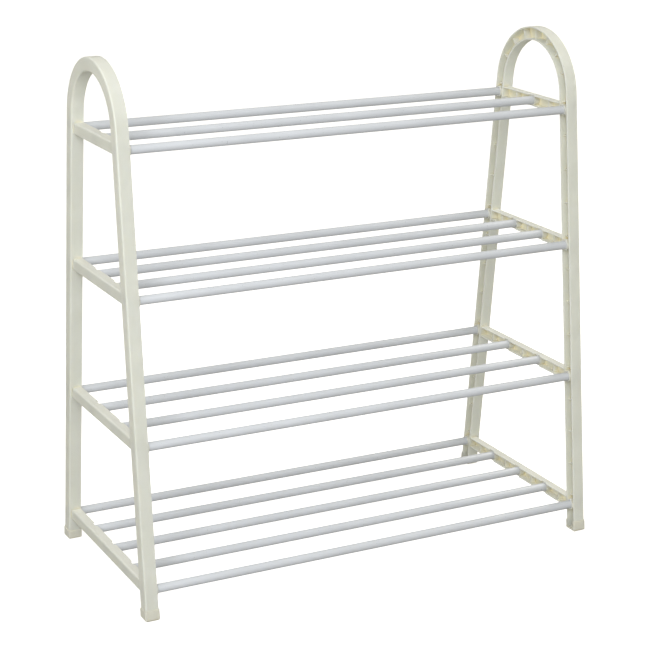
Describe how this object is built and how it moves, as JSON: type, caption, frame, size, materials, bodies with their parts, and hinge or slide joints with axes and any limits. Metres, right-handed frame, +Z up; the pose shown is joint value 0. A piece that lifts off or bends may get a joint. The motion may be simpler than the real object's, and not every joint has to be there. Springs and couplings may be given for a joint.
{
  "type": "tiered shoe rack",
  "caption": "Free-standing shoe rack: two arched plastic end frames joined by tiers of straight coated steel tubes that shoes stand on.",
  "frame": {"origin": "on the floor, at the middle of the rack's length and depth", "axes": "+X along the tubes to the right-hand end frame, -Y to the front, +Z up"},
  "size_m": [0.6926, 0.3216, 0.72],
  "materials": {
    "ivory_plastic": "injection-moulded polypropylene, ivory, satin",
    "cap_plastic": "moulded soft polyethylene, ivory, satin",
    "coated_steel": "powder-coated steel tube, pale blue-grey, semi-gloss"
  },
  "bodies": {
    "root": {"end_frame_left": "ivory_plastic", "end_frame_right": "ivory_plastic", "foot_front_left": "cap_plastic", "foot_back_left": "cap_plastic", "foot_front_right": "cap_plastic", "foot_back_right": "cap_plastic", "tube_bottom_1": "coated_steel", "tube_bottom_2": "coated_steel", "tube_bottom_3": "coated_steel", "tube_bottom_4": "coated_steel", "tube_bottom_5": "coated_steel", "tube_second_1": "coated_steel", "tube_second_2": "coated_steel", "tube_second_3": "coated_steel", "tube_second_4": "coated_steel", "tube_third_1": "coated_steel", "tube_third_2": "coated_steel", "tube_third_3": "coated_steel", "tube_third_4": "coated_steel", "tube_top_1": "coated_steel", "tube_top_2": "coated_steel", "tube_top_3": "coated_steel"}
  },
  "joints": []
}
